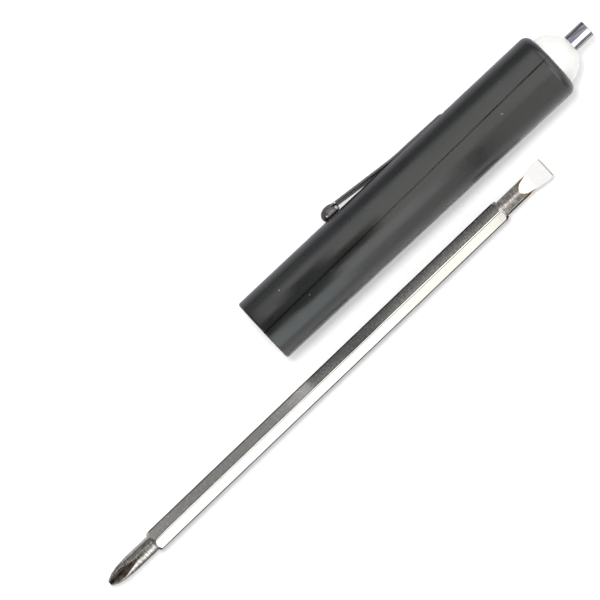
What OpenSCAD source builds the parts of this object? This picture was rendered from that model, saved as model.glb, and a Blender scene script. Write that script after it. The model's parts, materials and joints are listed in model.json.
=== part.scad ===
// Pocket screwdriver: a two-shell moulded barrel with a pocket clip, a domed
// plug with a pick-up magnet, and a reversible hex blade laid beside it.
// The barrel's axis runs along X with its mouth at the low end, and all
// pieces lie on the plane z = 0 as they do on a table.

/* [Barrel] */
// Length of the moulded barrel without the dome
barrel_len = 82.2; // [78:0.1:95]
// Diameter at the mouth
mouth_d = 15.16; // [14.8:0.02:16.5]
// Diameter at the domed end, a little larger for the mould's draft
top_d = 15.5; // [15.2:0.02:17]
// Radius of the shoulder at the domed end
shoulder_r = 1.9; // [1.2:0.1:2.2]
// Small bevel round the mouth
mouth_bevel = 0.45; // [0.1:0.05:0.6]
// Radius of the hollow inside the shells
hollow_r = 6; // [5.8:0.05:6.3]
// Length of solid plastic behind the mouth
front_wall = 4; // [3.5:0.1:4.5]
// Spacing of the ribs that carry the blade sleeve
rib_pitch = 14; // [13:0.25:14.25]
// Thickness of one rib
rib_t = 1.6; // [1.2:0.1:2]
// Length of solid plastic at the domed end
top_block = 8.6; // [8:0.1:10]

/* [Seam] */
// Width of the fine line where the two shells meet
seam_line = 0.3; // [0.1:0.05:0.5]
// Depth of that line
seam_depth = 0.4; // [0.1:0.05:0.5]
// Turn of the joint plane away from the barrel's axis
seam_yaw = 1.25; // [0:0.25:2]
// Distance from the mouth at which the joint plane crosses the axis
seam_cross = 25; // [15:1:35]
// Width of the locating tongue along the joint
tongue_w = 0.6; // [0.4:0.05:0.7]
// Height of the tongue above the joint plane
tongue_h = 0.5; // [0.3:0.05:0.8]

/* [Blade sleeve] */
// Outer diameter of the sleeve that holds the blade
sleeve_d = 9.5; // [9:0.05:9.6]
// Thickness of the sleeve's closed end
sleeve_floor = 2; // [1:0.25:3]
// Bevel that leads the blade into the socket
socket_lead = 0.4; // [0.1:0.05:0.8]
// Width of the two keys that stop the sleeve turning
key_w = 1.2; // [0.8:0.1:1.6]
// Height of each key above the sleeve
key_h = 0.9; // [0.5:0.05:1]

/* [Catch spring] */
// Width of the bow spring that holds the blade
spring_w = 2.2; // [1.6:0.1:2.4]
// Thickness of the bow spring
spring_t = 0.25; // [0.15:0.05:0.35]
// How far the bow stands into the empty socket
spring_bulge = 0.2; // [0.05:0.05:0.3]

/* [Dome and magnet] */
// Radius of the dome where it meets the barrel
dome_r = 5.85; // [5.5:0.05:6]
// Height of the dome
dome_h = 5.62; // [4.5:0.05:5.8]
// Diameter of the plug's spigot inside the barrel
spigot_d = 9.8; // [9.4:0.05:9.8]
// Length of the spigot
spigot_len = 8; // [6:0.1:8]
// Radius of the snap ring's round section
snap_r = 0.35; // [0.2:0.05:0.4]
// Diameter of the rod magnet, 5/32 inch
magnet_d = 3.97; // [3:0.01:4.5]
// Length of the magnet beyond the top of the dome
magnet_out = 4.5; // [3:0.1:8]
// Depth of the magnet's seat below the dome's base
magnet_seat = 5; // [3:0.1:6.5]
// Bevel on the magnet's free end
magnet_bevel = 0.15; // [0.1:0.05:0.5]

/* [Pocket clip] */
// Direction of the clip round the barrel, from the top
clip_angle = 101; // [95:1:110]
// Width of the clip's strip in its seat
clip_w = 4.6; // [4.2:0.1:5]
// Width of the strip where it meets the button
clip_neck_w = 3.8; // [3:0.1:4]
// Thickness of the strip
clip_t = 0.5; // [0.35:0.05:0.6]
// Where the strip leaves its seat and starts to flex
clip_hinge_x = 56; // [54:0.25:57]
// Where the strip bends away from the barrel
clip_bend_x = 44; // [42:0.25:46]
// Centre of the round button at the clip's free end
clip_ball_x = 27.05; // [25:0.05:30]
// Slope of the strip along its seat
seat_slope = 0.8; // [0.5:0.1:1]
// Slope of the strip beyond the bend
arm_slope = 6.05; // [5.5:0.05:7]
// Radius of the bend
bend_r = 40; // [20:1:50]
// Depth of the flat seat cut into the barrel
seat_depth = 0.6; // [0.5:0.05:0.7]
// Diameter of the button
ball_d = 4.4; // [4.2:0.1:4.8]
// Height of the button
ball_h = 2.38; // [2.3:0.02:2.6]
// Rounding of the button's edge next to the barrel
ball_edge_r = 0.7; // [0.4:0.05:0.8]
// Length along the barrel in which the strip dives through the wall
dive_len = 2.4; // [2:0.1:3]
// Height of the turned-up end that locks the root
hook_h = 0.9; // [0.5:0.05:1]

/* [Blade] */
// Distance across the flats of the hex blade, 3/16 inch
blade_af = 4.76; // [4.5:0.01:4.9]
// Length of the hex between its two turned ends
hex_len = 100.6; // [95:0.1:105]
// Length of the hex end's bevel
hex_bevel = 1; // [0.6:0.05:1.4]
// Diameter at the small end of that bevel
hex_end_d = 4.3; // [4.25:0.05:4.6]
// Diameter of the turned necks
neck_d = 3.75; // [3.6:0.05:4.2]
// Length of the cross-point end
cross_len = 12.4; // [10:0.1:15]
// Diameter of the cross point's blunt nose
nose_d = 1.3; // [1:0.05:1.6]
// Length of the cross point's first cone
nose_len = 1.5; // [1:0.1:2]
// Diameter at the end of the first cone
nose_root_d = 2.95; // [2.5:0.05:3.3]
// Length of the second, slimmer cone
nose_taper = 1.7; // [1:0.1:2.5]
// Radius of the web left between the four flutes, at the nose
web_r = 0.3; // [0.26:0.02:0.4]
// Slope of the flutes' floors next to the nose
flute_slope = 2.5; // [1:0.25:4]
// Length of the flutes' gently sloping floors
flute_floor = 3.5; // [2.5:0.25:4]
// Steeper slope with which the flutes run out
flute_runout = 16.5; // [15:0.5:20]
// Turn of the flutes about the blade's axis, away from the hex's corners
flute_turn = 6; // [0:1:45]
// Length of the flat-tip end
flat_len = 12.7; // [12:0.1:15]
// Length of the pressed flat
press_len = 7.6; // [6:0.1:9]
// Length in which the round neck turns into the flat
pinch_len = 3.6; // [2.4:0.1:4.2]
// Thickness of the flat where the pinch ends
flat_root_t = 1.4; // [1:0.05:2]
// Width of the flat where the pinch ends
pinch_w = 4; // [3.9:0.05:4.4]
// Thickness of the flat at its edge
flat_t = 0.8; // [0.6:0.05:1]
// Greatest width of the flat
flare_w = 4.9; // [4.4:0.05:5.4]
// Width of the flat at its edge
flat_w = 4.62; // [4.2:0.02:5.2]
// Length from the widest place to the edge
flare_back = 1.3; // [0.5:0.1:2]

/* [Layout] */
// Distance of the cross point in front of the barrel's mouth
blade_ahead = 59.2; // [50:0.5:70]
// Clear space between blade and barrel, level with the cross point
blade_space = 6.75; // [5.5:0.05:9]
// Turn of the blade towards the barrel
blade_yaw = 0.66; // [0:0.02:1]

/* [Fits] */
// Clearance of pieces seated in moulded plastic
seat_fit = 0.05; // [0.02:0.01:0.08]
// Clearance of the blade in its hex socket, on each face
blade_fit = 0.05; // [0.03:0.01:0.1]
// Gap at places that must stay free to move
free_gap = 0.1; // [0.06:0.01:0.12]
// Gap at the end of the strip, where the flexing part starts
flex_gap = 0.05; // [0.03:0.01:0.08]

/* [Hidden] */
$fn = 96;
over = 40;
bays = 4;
mouth_r = mouth_d / 2;
top_r = top_d / 2;
sleeve_r = sleeve_d / 2;
spigot_r = spigot_d / 2;
magnet_r = magnet_d / 2;
neck_r = neck_d / 2;

// The sleeve reaches from the mouth to the last rib's far side
sleeve_len = front_wall + bays * rib_pitch;
sleeve_hole_r = sleeve_r + seat_fit;
socket_af = blade_af + 2 * blade_fit;

// The lead-in bevel runs from outside the socket's corners to its flats
lead_r = socket_af / sqrt(3) + socket_lead;
lead_len = lead_r - socket_af / 2;

// Keys cross the two middle ribs
key_end = 1;
key_x = front_wall + 2 * rib_pitch - rib_t - key_end;
key_len = rib_pitch + rib_t + 2 * key_end;

// The bow spring's two ends lie under the front wall and the first rib
spring_end = 1.2;
spring_x0 = front_wall - spring_end;
spring_x1 = front_wall + rib_pitch - rib_t + spring_end;
spring_slot_w = spring_w + 4 * seat_fit;
spring_steps = 5;

// Sphere of the dome, from its base radius and height
dome_ball_r = (dome_r * dome_r + dome_h * dome_h) / (2 * dome_h);
magnet_end_x = barrel_len + dome_h + magnet_out;

// Radius of the barrel's skin at a distance from the mouth
draft_len = barrel_len - shoulder_r;
function skin_r(x) = mouth_r + (top_r - mouth_r) * x / draft_len;

// Centre line of the strip, as distance from the mouth and radius
half_t = clip_t / 2;
hinge_r = skin_r(clip_hinge_x) - seat_depth + free_gap + half_t;
bend_at_r = hinge_r + (clip_hinge_x - clip_bend_x) * tan(seat_slope);
bend_cut = bend_r * tan((arm_slope - seat_slope) / 2);
bend_steps = 4;
ball_mid_r = bend_at_r + (clip_bend_x - clip_ball_x) * tan(arm_slope);

// The button stands just off the barrel; its outer side is one round crown
ball_low_r = skin_r(clip_ball_x) + free_gap;
crown_r = ball_h - ball_edge_r;
crown_in = ball_d / 2 - crown_r;

// The seat ends a little past the place where the strip clears the skin
rise_x = (skin_r(clip_bend_x) - bend_at_r + half_t) / tan(arm_slope);
seat_x0 = clip_bend_x - rise_x - 2 * clip_t;

// The root lies flat inside the shell, against the plug's spigot
root_in_r = spigot_r + seat_fit;
root_mid_r = root_in_r + half_t;
root_out_r = root_in_r + clip_t;
root_gap_x = clip_hinge_x + half_t + flex_gap;
dive_x0 = clip_hinge_x + 3 * clip_t;
dive_x1 = dive_x0 + dive_len;
hook_x = barrel_len - spigot_len / 2 - 3 * snap_r;

// Blade stations, measured from the cross point's nose
hex_x0 = cross_len;
hex_x1 = cross_len + hex_len;
blade_len = cross_len + hex_len + flat_len;
press_x0 = blade_len - press_len;
edge_r = blade_af / sqrt(3);
hex_end_r = hex_end_d / 2;
facet_x = hex_bevel * (blade_af / 2 - hex_end_r) / (edge_r - hex_end_r);
blade_y = -(mouth_r + blade_space + blade_af / 2);

// Shape a third of the way into the pinch: half thickness and share of width
pinch_share = 0.55;
dent_share = 0.9;
dent_t = flat_root_t / 2 + (neck_r - flat_root_t / 2) * pinch_share;

// Corners of the whole part, from which the origin is worked out
low_x = -blade_ahead - nose_d / 2 * sin(blade_yaw);
low_y = blade_y + (hex_x0 + facet_x) * sin(blade_yaw) - blade_af / 2 * cos(blade_yaw);
high_y = (ball_low_r + ball_edge_r) * sin(clip_angle)
    + max(crown_in, 0) * abs(cos(clip_angle)) + crown_r;
mid_x = (low_x + magnet_end_x) / 2;
mid_y = (low_y + high_y) / 2;

// The narrower mouth lies on the table too, so the barrel's axis rises a little from it
lie_angle = atan((top_r - mouth_r) / draft_len);

// Outline of a strip of even thickness along a line of points
function unit(v) = v / norm(v);
function side(a, b) = [unit(b - a)[1], -unit(b - a)[0]];
function mitre(m, n) = (m + n) / (1 + m * n);
function edge_way(p, i) =
    i == 0 ? side(p[0], p[1])
    : i == len(p) - 1 ? side(p[i - 1], p[i])
    : mitre(side(p[i - 1], p[i]), side(p[i], p[i + 1]));
function strip(p, t) = concat(
    [for (i = [0 : len(p) - 1]) p[i] + edge_way(p, i) * t / 2],
    [for (i = [len(p) - 1 : -1 : 0]) p[i] - edge_way(p, i) * t / 2]
);

// Moves a piece from the barrel's own frame to the part's frame, lying on its tapered skin
module on_table() {
    translate([-mid_x, -mid_y, mouth_r * cos(lie_angle)])
        rotate([0, -lie_angle, 0])
            children();
}

// A shape drawn about Z, turned to lie along the barrel's axis
module along_x() {
    rotate([0, 90, 0])
        children();
}

// A shape drawn with its outward side up, turned to the clip's direction
module at_clip() {
    rotate([-clip_angle, 0, 0])
        children();
}

// A flat outline of distance and radius, given a width across
module across(width) {
    rotate([90, 0, 0])
        linear_extrude(width, center = true)
            children();
}

// Solid shape of the barrel, drawn in by an inset
module barrel_skin(inset) {
    along_x()
        rotate_extrude()
            difference() {
                polygon([
                    [0, 0],
                    [mouth_r - mouth_bevel - inset, 0],
                    [mouth_r - inset, mouth_bevel],
                    [top_r - inset, draft_len],
                    [top_r - inset, barrel_len],
                    [0, barrel_len]
                ]);
                translate([top_r - inset - shoulder_r, draft_len])
                    difference() {
                        square(shoulder_r + over);
                        circle(shoulder_r);
                    }
            }
}

// Space on one side of the joint plane, from a given distance to it
module seam_space(from, to) {
    translate([seam_cross, 0, 0])
        rotate([0, 0, seam_yaw])
            translate([-3 * over, from, -over])
                cube([6 * over, to - from, 2 * over]);
}

// Tongue along the joint, above and below the axis
module seam_tongue(gap) {
    mid_r = (hollow_r + mouth_r - seam_depth) / 2;
    tongue_x0 = front_wall / 2;
    tongue_x1 = barrel_len - front_wall / 2;
    translate([seam_cross, 0, 0])
        rotate([0, 0, seam_yaw])
            for (way = [-1, 1])
                translate([
                    tongue_x0 - seam_cross - gap,
                    -tongue_h,
                    way * mid_r - tongue_w / 2 - gap
                ])
                    cube([
                        tongue_x1 - tongue_x0 + 2 * gap,
                        2 * tongue_h + gap,
                        tongue_w + 2 * gap
                    ]);
}

// Hollows between the ribs, and the chamber behind the sleeve
module bay_hollows() {
    for (i = [0 : bays - 1])
        translate([front_wall + i * rib_pitch, 0, 0])
            along_x()
                cylinder(h = rib_pitch - rib_t, r = hollow_r);
    translate([sleeve_len, 0, 0])
        along_x()
            cylinder(h = barrel_len - top_block - sleeve_len, r = hollow_r);
}

// Keys of the sleeve, with a gap for the notches that take them
module sleeve_keys(gap) {
    translate([key_x - gap, -(sleeve_r + key_h + gap), -key_w / 2 - gap])
        cube([key_len + 2 * gap, 2 * (sleeve_r + key_h + gap), key_w + 2 * gap]);
}

// Groove in the barrel for the plug's snap ring
module snap_groove() {
    translate([barrel_len - spigot_len / 2, 0, 0])
        along_x()
            rotate_extrude()
                translate([spigot_r - snap_r / 3, 0])
                    circle(snap_r + seat_fit);
}

// The whole barrel before it is parted along the joint plane
module barrel_body() {
    difference() {
        barrel_skin(0);
        bay_hollows();
        translate([-over, 0, 0])
            along_x()
                cylinder(h = over + sleeve_len + seat_fit, r = sleeve_hole_r);
        translate([barrel_len - top_block - seat_fit, 0, 0])
            along_x()
                cylinder(h = top_block + over, r = spigot_r + seat_fit);
        sleeve_keys(seat_fit);
        snap_groove();
        difference() {
            seam_space(-seam_line / 2, seam_line / 2);
            barrel_skin(seam_depth);
        }
    }
}

// Flat seat, slot and inner pocket that the clip lies in
module clip_cuts() {
    width = clip_w + 2 * free_gap;
    at_clip() {
        translate([seat_x0, -width / 2, skin_r(clip_hinge_x) - seat_depth])
            cube([dive_x0 + clip_t - seat_x0, width, over]);
        across(width)
            polygon([
                [dive_x0 - 2 * clip_t, hinge_r + half_t + over],
                [dive_x0 - 2 * clip_t, hinge_r - half_t - free_gap],
                [dive_x0 - clip_t / 2, hinge_r - half_t - free_gap],
                [dive_x1 - clip_t, root_in_r - free_gap],
                [hook_x + half_t + free_gap, root_in_r - free_gap],
                [hook_x + half_t + free_gap, root_mid_r + hook_h + free_gap],
                [hook_x - half_t - free_gap, root_mid_r + hook_h + free_gap],
                [hook_x - half_t - free_gap, root_out_r + free_gap / 2],
                [dive_x1 + clip_t, root_out_r + free_gap / 2],
                [dive_x0 + 2 * clip_t, hinge_r + half_t + free_gap],
                [dive_x0 + 2 * clip_t, hinge_r + half_t + over]
            ]);
    }
}

// Moulded half of the barrel that carries the pocket clip
module clip_side_shell() {
    color("#3c3d3b")
        on_table()
            difference() {
                barrel_body();
                seam_space(-over, 0);
                seam_tongue(seat_fit);
                clip_cuts();
            }
}

// Moulded half of the barrel away from the clip, with the locating tongue
module plain_side_shell() {
    color("#3c3d3b")
        on_table() {
            difference() {
                barrel_body();
                seam_space(0, over);
            }
            seam_tongue(0);
        }
}

// Moulded sleeve with the blind hex socket that drives the blade
module blade_sleeve() {
    color("#2a2b2c")
        on_table()
            difference() {
                union() {
                    along_x()
                        cylinder(h = sleeve_len, r = sleeve_r);
                    sleeve_keys(0);
                }
                translate([-over, 0, 0])
                    along_x()
                        cylinder(
                            h = over + sleeve_len - sleeve_floor,
                            r = socket_af / sqrt(3),
                            $fn = 6
                        );
                along_x()
                    cylinder(h = lead_len, r1 = lead_r, r2 = lead_r - lead_len);
                translate([
                    spring_x0 - seat_fit,
                    -over,
                    -spring_slot_w / 2
                ])
                    cube([
                        spring_x1 - spring_x0 + 2 * seat_fit,
                        over,
                        spring_slot_w
                    ]);
            }
}

// Bow spring in the sleeve's slot, which keeps the blade from dropping out
module catch_spring() {
    hole_chord_r = sqrt(pow(sleeve_hole_r, 2) - pow(spring_w / 2, 2));
    end_r = hole_chord_r - seat_fit - spring_t;
    apex_r = socket_af / 2 - spring_bulge + spring_t / 2;
    middle_x = (spring_x0 + spring_x1) / 2;
    half_len = (spring_x1 - spring_x0) / 2 - spring_t;
    bow = [
        for (i = [-spring_steps : spring_steps])
            let (share = i / spring_steps)
                [middle_x + share * half_len, apex_r + (end_r - apex_r) * share * share]
    ];
    color("#a9adb0")
        on_table()
            rotate([90, 0, 0])
                across(spring_w)
                    polygon(strip(bow, spring_t));
}

// White dome with the spigot that plugs the barrel and holds the magnet
module dome_plug() {
    color("#f3f2ee")
        on_table()
            translate([barrel_len, 0, 0])
                along_x()
                    rotate_extrude()
                        difference() {
                            union() {
                                intersection() {
                                    translate([0, dome_h - dome_ball_r])
                                        circle(dome_ball_r);
                                    square(over);
                                }
                                translate([0, -spigot_len])
                                    square([spigot_r, spigot_len]);
                                translate([spigot_r - snap_r / 3, -spigot_len / 2])
                                    circle(snap_r);
                            }
                            translate([0, -magnet_seat])
                                square([magnet_r, over]);
                        }
}

// Plated rod magnet pressed into the dome
module pickup_magnet() {
    straight = magnet_end_x - magnet_bevel - barrel_len + magnet_seat;
    color("#b9bcc0")
        on_table()
            translate([barrel_len - magnet_seat, 0, 0])
                along_x() {
                    cylinder(h = straight, r = magnet_r);
                    translate([0, 0, straight])
                        cylinder(h = magnet_bevel, r1 = magnet_r, r2 = magnet_r - magnet_bevel);
                }
}

// Fixed end of the clip: dives through the shell's wall and locks inside
module clip_root() {
    line = [
        [root_gap_x, hinge_r],
        [dive_x0, hinge_r],
        [dive_x1, root_mid_r],
        [hook_x, root_mid_r],
        [hook_x, root_mid_r + hook_h]
    ];
    color("#8b8e92")
        on_table()
            at_clip()
                across(clip_w)
                    polygon(strip(line, clip_t));
}

// Points round the bend of the flexing strip
function bend_points() = let (
    turn = arm_slope - seat_slope,
    start = [clip_bend_x + bend_cut * cos(seat_slope), bend_at_r - bend_cut * sin(seat_slope)],
    hub = start + bend_r * [sin(seat_slope), cos(seat_slope)]
) [
    for (i = [0 : bend_steps])
        let (angle = seat_slope + turn * i / bend_steps)
            hub - bend_r * [sin(angle), cos(angle)]
];

// Round button at the clip's free end, drawn about its own axis
module clip_button() {
    translate([clip_ball_x, 0, ball_low_r])
        rotate_extrude()
            intersection() {
                union() {
                    translate([ball_d / 2 - ball_edge_r, ball_edge_r])
                        circle(ball_edge_r);
                    translate([crown_in, ball_edge_r])
                        circle(crown_r);
                    square([ball_d / 2 - ball_edge_r, ball_edge_r]);
                    translate([0, ball_edge_r])
                        square([max(crown_in, 0), crown_r]);
                }
                square(over);
            }
}

// Flexing end of the clip: a strip that narrows towards its button
module clip_arm() {
    line = concat(
        [[clip_hinge_x, hinge_r]],
        bend_points(),
        [[clip_ball_x, ball_mid_r]]
    );
    color("#8b8e92")
        on_table()
            at_clip() {
                intersection() {
                    across(2 * clip_w)
                        polygon(strip(line, clip_t));
                    linear_extrude(over)
                        polygon([
                            [clip_ball_x - ball_d, -clip_neck_w / 2],
                            [clip_ball_x, -clip_neck_w / 2],
                            [clip_hinge_x, -clip_w / 2],
                            [clip_hinge_x, clip_w / 2],
                            [clip_ball_x, clip_neck_w / 2],
                            [clip_ball_x - ball_d, clip_neck_w / 2]
                        ]);
                }
                translate([clip_hinge_x, 0, hinge_r])
                    rotate([90, 0, 0])
                        cylinder(h = clip_w, r = half_t, center = true);
                clip_button();
            }
}

// One of the four flutes of the cross point
module flute() {
    intersection() {
        notch(0, web_r, flute_slope);
        translate([-over, -neck_d, -neck_d])
            cube([over + flute_floor, 2 * neck_d, 4 * neck_d]);
    }
    intersection() {
        notch(flute_floor, web_r + flute_floor * tan(flute_slope), flute_runout);
        translate([flute_floor, -neck_d, -neck_d])
            cube([over, 2 * neck_d, 4 * neck_d]);
    }
}

// A square-cornered notch whose corner line rises from a place on its length
module notch(from_x, from_r, slope) {
    translate([from_x, 0, from_r])
        rotate([0, -slope, 0])
            rotate([45, 0, 0])
                translate([-neck_d, 0, 0])
                    cube([over, 2 * neck_d, 2 * neck_d]);
}

// Round cross-point end, from the nose to the hex
module cross_end() {
    body_x = nose_len + nose_taper;
    difference() {
        along_x() {
            cylinder(h = nose_len, r1 = nose_d / 2, r2 = nose_root_d / 2);
            translate([0, 0, nose_len])
                cylinder(h = nose_taper, r1 = nose_root_d / 2, r2 = neck_r);
            translate([0, 0, body_x])
                cylinder(h = cross_len - body_x, r = neck_r);
        }
        for (turn = [0 : 90 : 270])
            rotate([turn + flute_turn, 0, 0])
                flute();
    }
}

// Hex bar with both ends bevelled
module hex_bar() {
    intersection() {
        translate([hex_x0, 0, 0])
            along_x()
                cylinder(h = hex_len, r = edge_r, $fn = 6);
        translate([hex_x0, 0, 0])
            along_x() {
                cylinder(h = hex_bevel, r1 = hex_end_r, r2 = edge_r);
                translate([0, 0, hex_bevel])
                    cylinder(h = hex_len - 2 * hex_bevel, r = edge_r);
                translate([0, 0, hex_len - hex_bevel])
                    cylinder(h = hex_bevel, r1 = edge_r, r2 = hex_end_r);
            }
    }
}

// Flat-tip end: a round neck pressed and ground to a flared flat
module flat_end() {
    dent_x = press_x0 + pinch_len / 3;
    pinch_x = press_x0 + pinch_len;
    flare_x = blade_len - flare_back;
    dent_w = sqrt(neck_r * neck_r - dent_t * dent_t) * dent_share;
    intersection() {
        union() {
            translate([hex_x1, 0, 0])
                along_x()
                    cylinder(h = pinch_x - hex_x1, r = neck_r);
            linear_extrude(neck_d, center = true)
                polygon([
                    [dent_x, dent_w],
                    [pinch_x, pinch_w / 2],
                    [flare_x, flare_w / 2],
                    [blade_len, flat_w / 2],
                    [blade_len, -flat_w / 2],
                    [flare_x, -flare_w / 2],
                    [pinch_x, -pinch_w / 2],
                    [dent_x, -dent_w]
                ]);
        }
        across(flare_w + neck_d)
            polygon([
                [hex_x1, neck_r],
                [press_x0, neck_r],
                [dent_x, dent_t],
                [pinch_x, flat_root_t / 2],
                [blade_len, flat_t / 2],
                [blade_len, -flat_t / 2],
                [pinch_x, -flat_root_t / 2],
                [dent_x, -dent_t],
                [press_x0, -neck_r],
                [hex_x1, -neck_r]
            ]);
    }
}

// Reversible steel blade, laid on the table beside the barrel
module blade() {
    color("#c3c4c4")
        translate([-mid_x - blade_ahead, -mid_y + blade_y, edge_r])
            rotate([0, 0, blade_yaw]) {
                cross_end();
                hex_bar();
                flat_end();
            }
}

clip_side_shell();
plain_side_shell();
blade_sleeve();
catch_spring();
dome_plug();
pickup_magnet();
clip_root();
clip_arm();
blade();
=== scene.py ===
import json
import math

import bmesh
import bpy
from mathutils import Matrix, Vector


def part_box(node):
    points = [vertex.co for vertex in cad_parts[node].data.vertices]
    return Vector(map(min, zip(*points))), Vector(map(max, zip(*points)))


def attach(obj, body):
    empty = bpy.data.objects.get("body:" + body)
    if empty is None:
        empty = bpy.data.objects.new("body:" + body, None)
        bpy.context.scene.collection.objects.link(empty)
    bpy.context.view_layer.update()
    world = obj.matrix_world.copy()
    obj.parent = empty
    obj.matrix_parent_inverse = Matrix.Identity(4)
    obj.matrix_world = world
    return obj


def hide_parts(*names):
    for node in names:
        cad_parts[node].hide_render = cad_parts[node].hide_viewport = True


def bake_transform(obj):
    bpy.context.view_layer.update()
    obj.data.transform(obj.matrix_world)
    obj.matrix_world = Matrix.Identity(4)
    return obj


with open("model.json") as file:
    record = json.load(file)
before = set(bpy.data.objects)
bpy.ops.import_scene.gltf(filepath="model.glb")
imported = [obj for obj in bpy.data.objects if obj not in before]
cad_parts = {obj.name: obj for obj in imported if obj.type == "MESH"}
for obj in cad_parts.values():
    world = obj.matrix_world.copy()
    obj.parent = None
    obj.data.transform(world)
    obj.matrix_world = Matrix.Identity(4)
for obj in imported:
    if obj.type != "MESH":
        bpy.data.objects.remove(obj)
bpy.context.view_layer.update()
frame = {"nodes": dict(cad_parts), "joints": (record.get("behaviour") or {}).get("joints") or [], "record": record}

# Table, camera, lamp and cards.
# The tool lies on a plain white table in a white room, and is seen from straight above through
# a long lens. A soft lamp hangs on the clip's side, and cards shape what the skins reflect.
mm = 0.001
micron = mm / 1000
scene = bpy.context.scene
scene.view_settings.view_transform = "Standard"
mounts = {m["name"]: Vector(m["pos_m"]) for m in frame["record"]["mounts"]}
joints = {j["name"]: j for j in frame["joints"]}
mouth_at = mounts["blade_socket"]
barrel_way = (mounts["magnet_face"] - mouth_at).normalized()


def colour(code):
    """Linear RGBA of an sRGB hex colour such as #40413e."""
    parts = [int(code[i : i + 2], 16) / 255 for i in (1, 3, 5)]
    return [c / 12.92 if c <= 0.04045 else ((c + 0.055) / 1.055) ** 2.4 for c in parts] + [1]


def add(tree, kind, sockets=None, **settings):
    """A shader node with its settings, and its inputs set to values or linked to outputs."""
    new = tree.nodes.new("ShaderNode" + kind)
    for name, value in settings.items():
        setattr(new, name, value)
    for name, value in (sockets or {}).items():
        if isinstance(value, bpy.types.NodeSocket):
            tree.links.new(value, new.inputs[name])
        else:
            new.inputs[name].default_value = value
    return new


def finish_named(name, **values):
    """A material with its principled shader set, and its node tree."""
    made = bpy.data.materials.new(name)
    made.use_nodes = True
    shader = made.node_tree.nodes["Principled BSDF"]
    for key, value in values.items():
        shader.inputs[key.replace("_", " ")].default_value = value
    return made, made.node_tree, shader


def seen_directly(tree):
    """1 for rays from the camera, in reflections and through glass, and 0 for light on dull skins."""
    ray = add(tree, "LightPath").outputs
    either = add(tree, "Math", {0: ray["Is Camera Ray"], 1: ray["Is Glossy Ray"]}, operation="MAXIMUM")
    any_way = add(tree, "Math", {0: either.outputs[0], 1: ray["Is Transmission Ray"]},
                  operation="MAXIMUM")
    return add(tree, "Math", {0: any_way.outputs[0], 1: ray["Diffuse Depth"]}, operation="SUBTRACT",
               use_clamp=True).outputs[0]


table_size = 1.6
# The camera sees the table this much brighter than its paint, so that it prints plain white
table_lift = 0.27
table_finish, tree, shader = finish_named("white_table_top", Base_Color=colour("#f4f4f4"), Roughness=0.9)
shader.inputs["Specular IOR Level"].default_value = 0
tree.links.new(seen_directly(tree), shader.inputs["Emission Strength"])
shader.inputs["Emission Color"].default_value = [table_lift] * 3 + [1]
bm = bmesh.new()
bmesh.ops.create_grid(bm, x_segments=1, y_segments=1, size=table_size / 2)
table_mesh = bpy.data.meshes.new("table_top")
bm.to_mesh(table_mesh)
bm.free()
table_mesh.materials.append(table_finish)
table = bpy.data.objects.new("table_top", table_mesh)
scene.collection.objects.link(table)

world = bpy.data.worlds.new("white_room")
scene.world = world
world.use_nodes = True
room = world.node_tree
room_level = 0.68
level = add(room, "MapRange", {"Value": seen_directly(room), "To Min": room_level, "To Max": 1.0})
room.links.new(level.outputs["Result"], room.nodes["Background"].inputs["Strength"])
room.nodes["Background"].inputs["Color"].default_value = [1, 1, 1, 1]

# The barrel's axis runs up to the right in the picture
picture_turn = math.radians(43.04)
picture_width = 124.8 * mm
picture_centre = Vector((-6.45, 3.92, 6.0)) * mm
camera_height = 1.3
lens_data = bpy.data.cameras.new("overhead_camera")
lens_data.lens = lens_data.sensor_width * camera_height / picture_width
lens_data.clip_end = 10
camera = bpy.data.objects.new("overhead_camera", lens_data)
camera.location = picture_centre + Vector((0, 0, camera_height))
camera.rotation_euler = (0, 0, -picture_turn)
scene.collection.objects.link(camera)
scene.camera = camera

# The lamp is of middling size, so shadows are short and a little soft. Only dull skins see it
lamp_size = 0.18
lamp_power = 3.7
lamp_at = Vector((0.0, 0.165, 0.835))
lamp_data = bpy.data.lights.new("key_softbox", "AREA")
lamp_data.shape = "SQUARE"
lamp_data.size = lamp_size
lamp_data.energy = lamp_power
lamp = bpy.data.objects.new("key_softbox", lamp_data)
lamp.location = lamp_at
lamp.rotation_euler = lamp_at.to_track_quat("Z", "Y").to_euler()
lamp.visible_camera = False
lamp.visible_glossy = False
scene.collection.objects.link(lamp)


def card(name, size, place, aim, light, tone="#ffffff", in_reflections=True):
    """A card of one brightness, clear from behind, for reflections or for the light on dull skins."""
    finish, tree, shader = finish_named(name + "_paper")
    tree.nodes.remove(shader)
    # Light that a shiny skin throws on the table counts as the plain room's
    thrown = room_level if in_reflections else light
    level = add(tree, "MapRange", {"Value": seen_directly(tree), "To Min": thrown, "To Max": light})
    glow = add(tree, "Emission", {"Color": colour(tone), "Strength": level.outputs[0]})
    clear = add(tree, "BsdfTransparent")
    behind = add(tree, "NewGeometry").outputs["Backfacing"]
    sides = add(tree, "MixShader", {0: behind, 1: glow.outputs[0], 2: clear.outputs[0]})
    tree.links.new(sides.outputs[0], tree.nodes["Material Output"].inputs["Surface"])
    bm = bmesh.new()
    bmesh.ops.create_grid(bm, x_segments=1, y_segments=1, size=0.5)
    bmesh.ops.scale(bm, verts=bm.verts, vec=(size[0], size[1], 1))
    turn = (Vector(aim) - Vector(place)).to_track_quat("Z", "Y").to_matrix().to_4x4()
    bmesh.ops.transform(bm, verts=bm.verts, matrix=Matrix.Translation(place) @ turn)
    mesh = bpy.data.meshes.new(name)
    bm.to_mesh(mesh)
    bm.free()
    mesh.materials.append(finish)
    made = bpy.data.objects.new(name, mesh)
    scene.collection.objects.link(made)
    made.visible_camera = False
    made.visible_glossy = in_reflections
    made.visible_diffuse = not in_reflections
    made.visible_shadow = False


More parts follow.
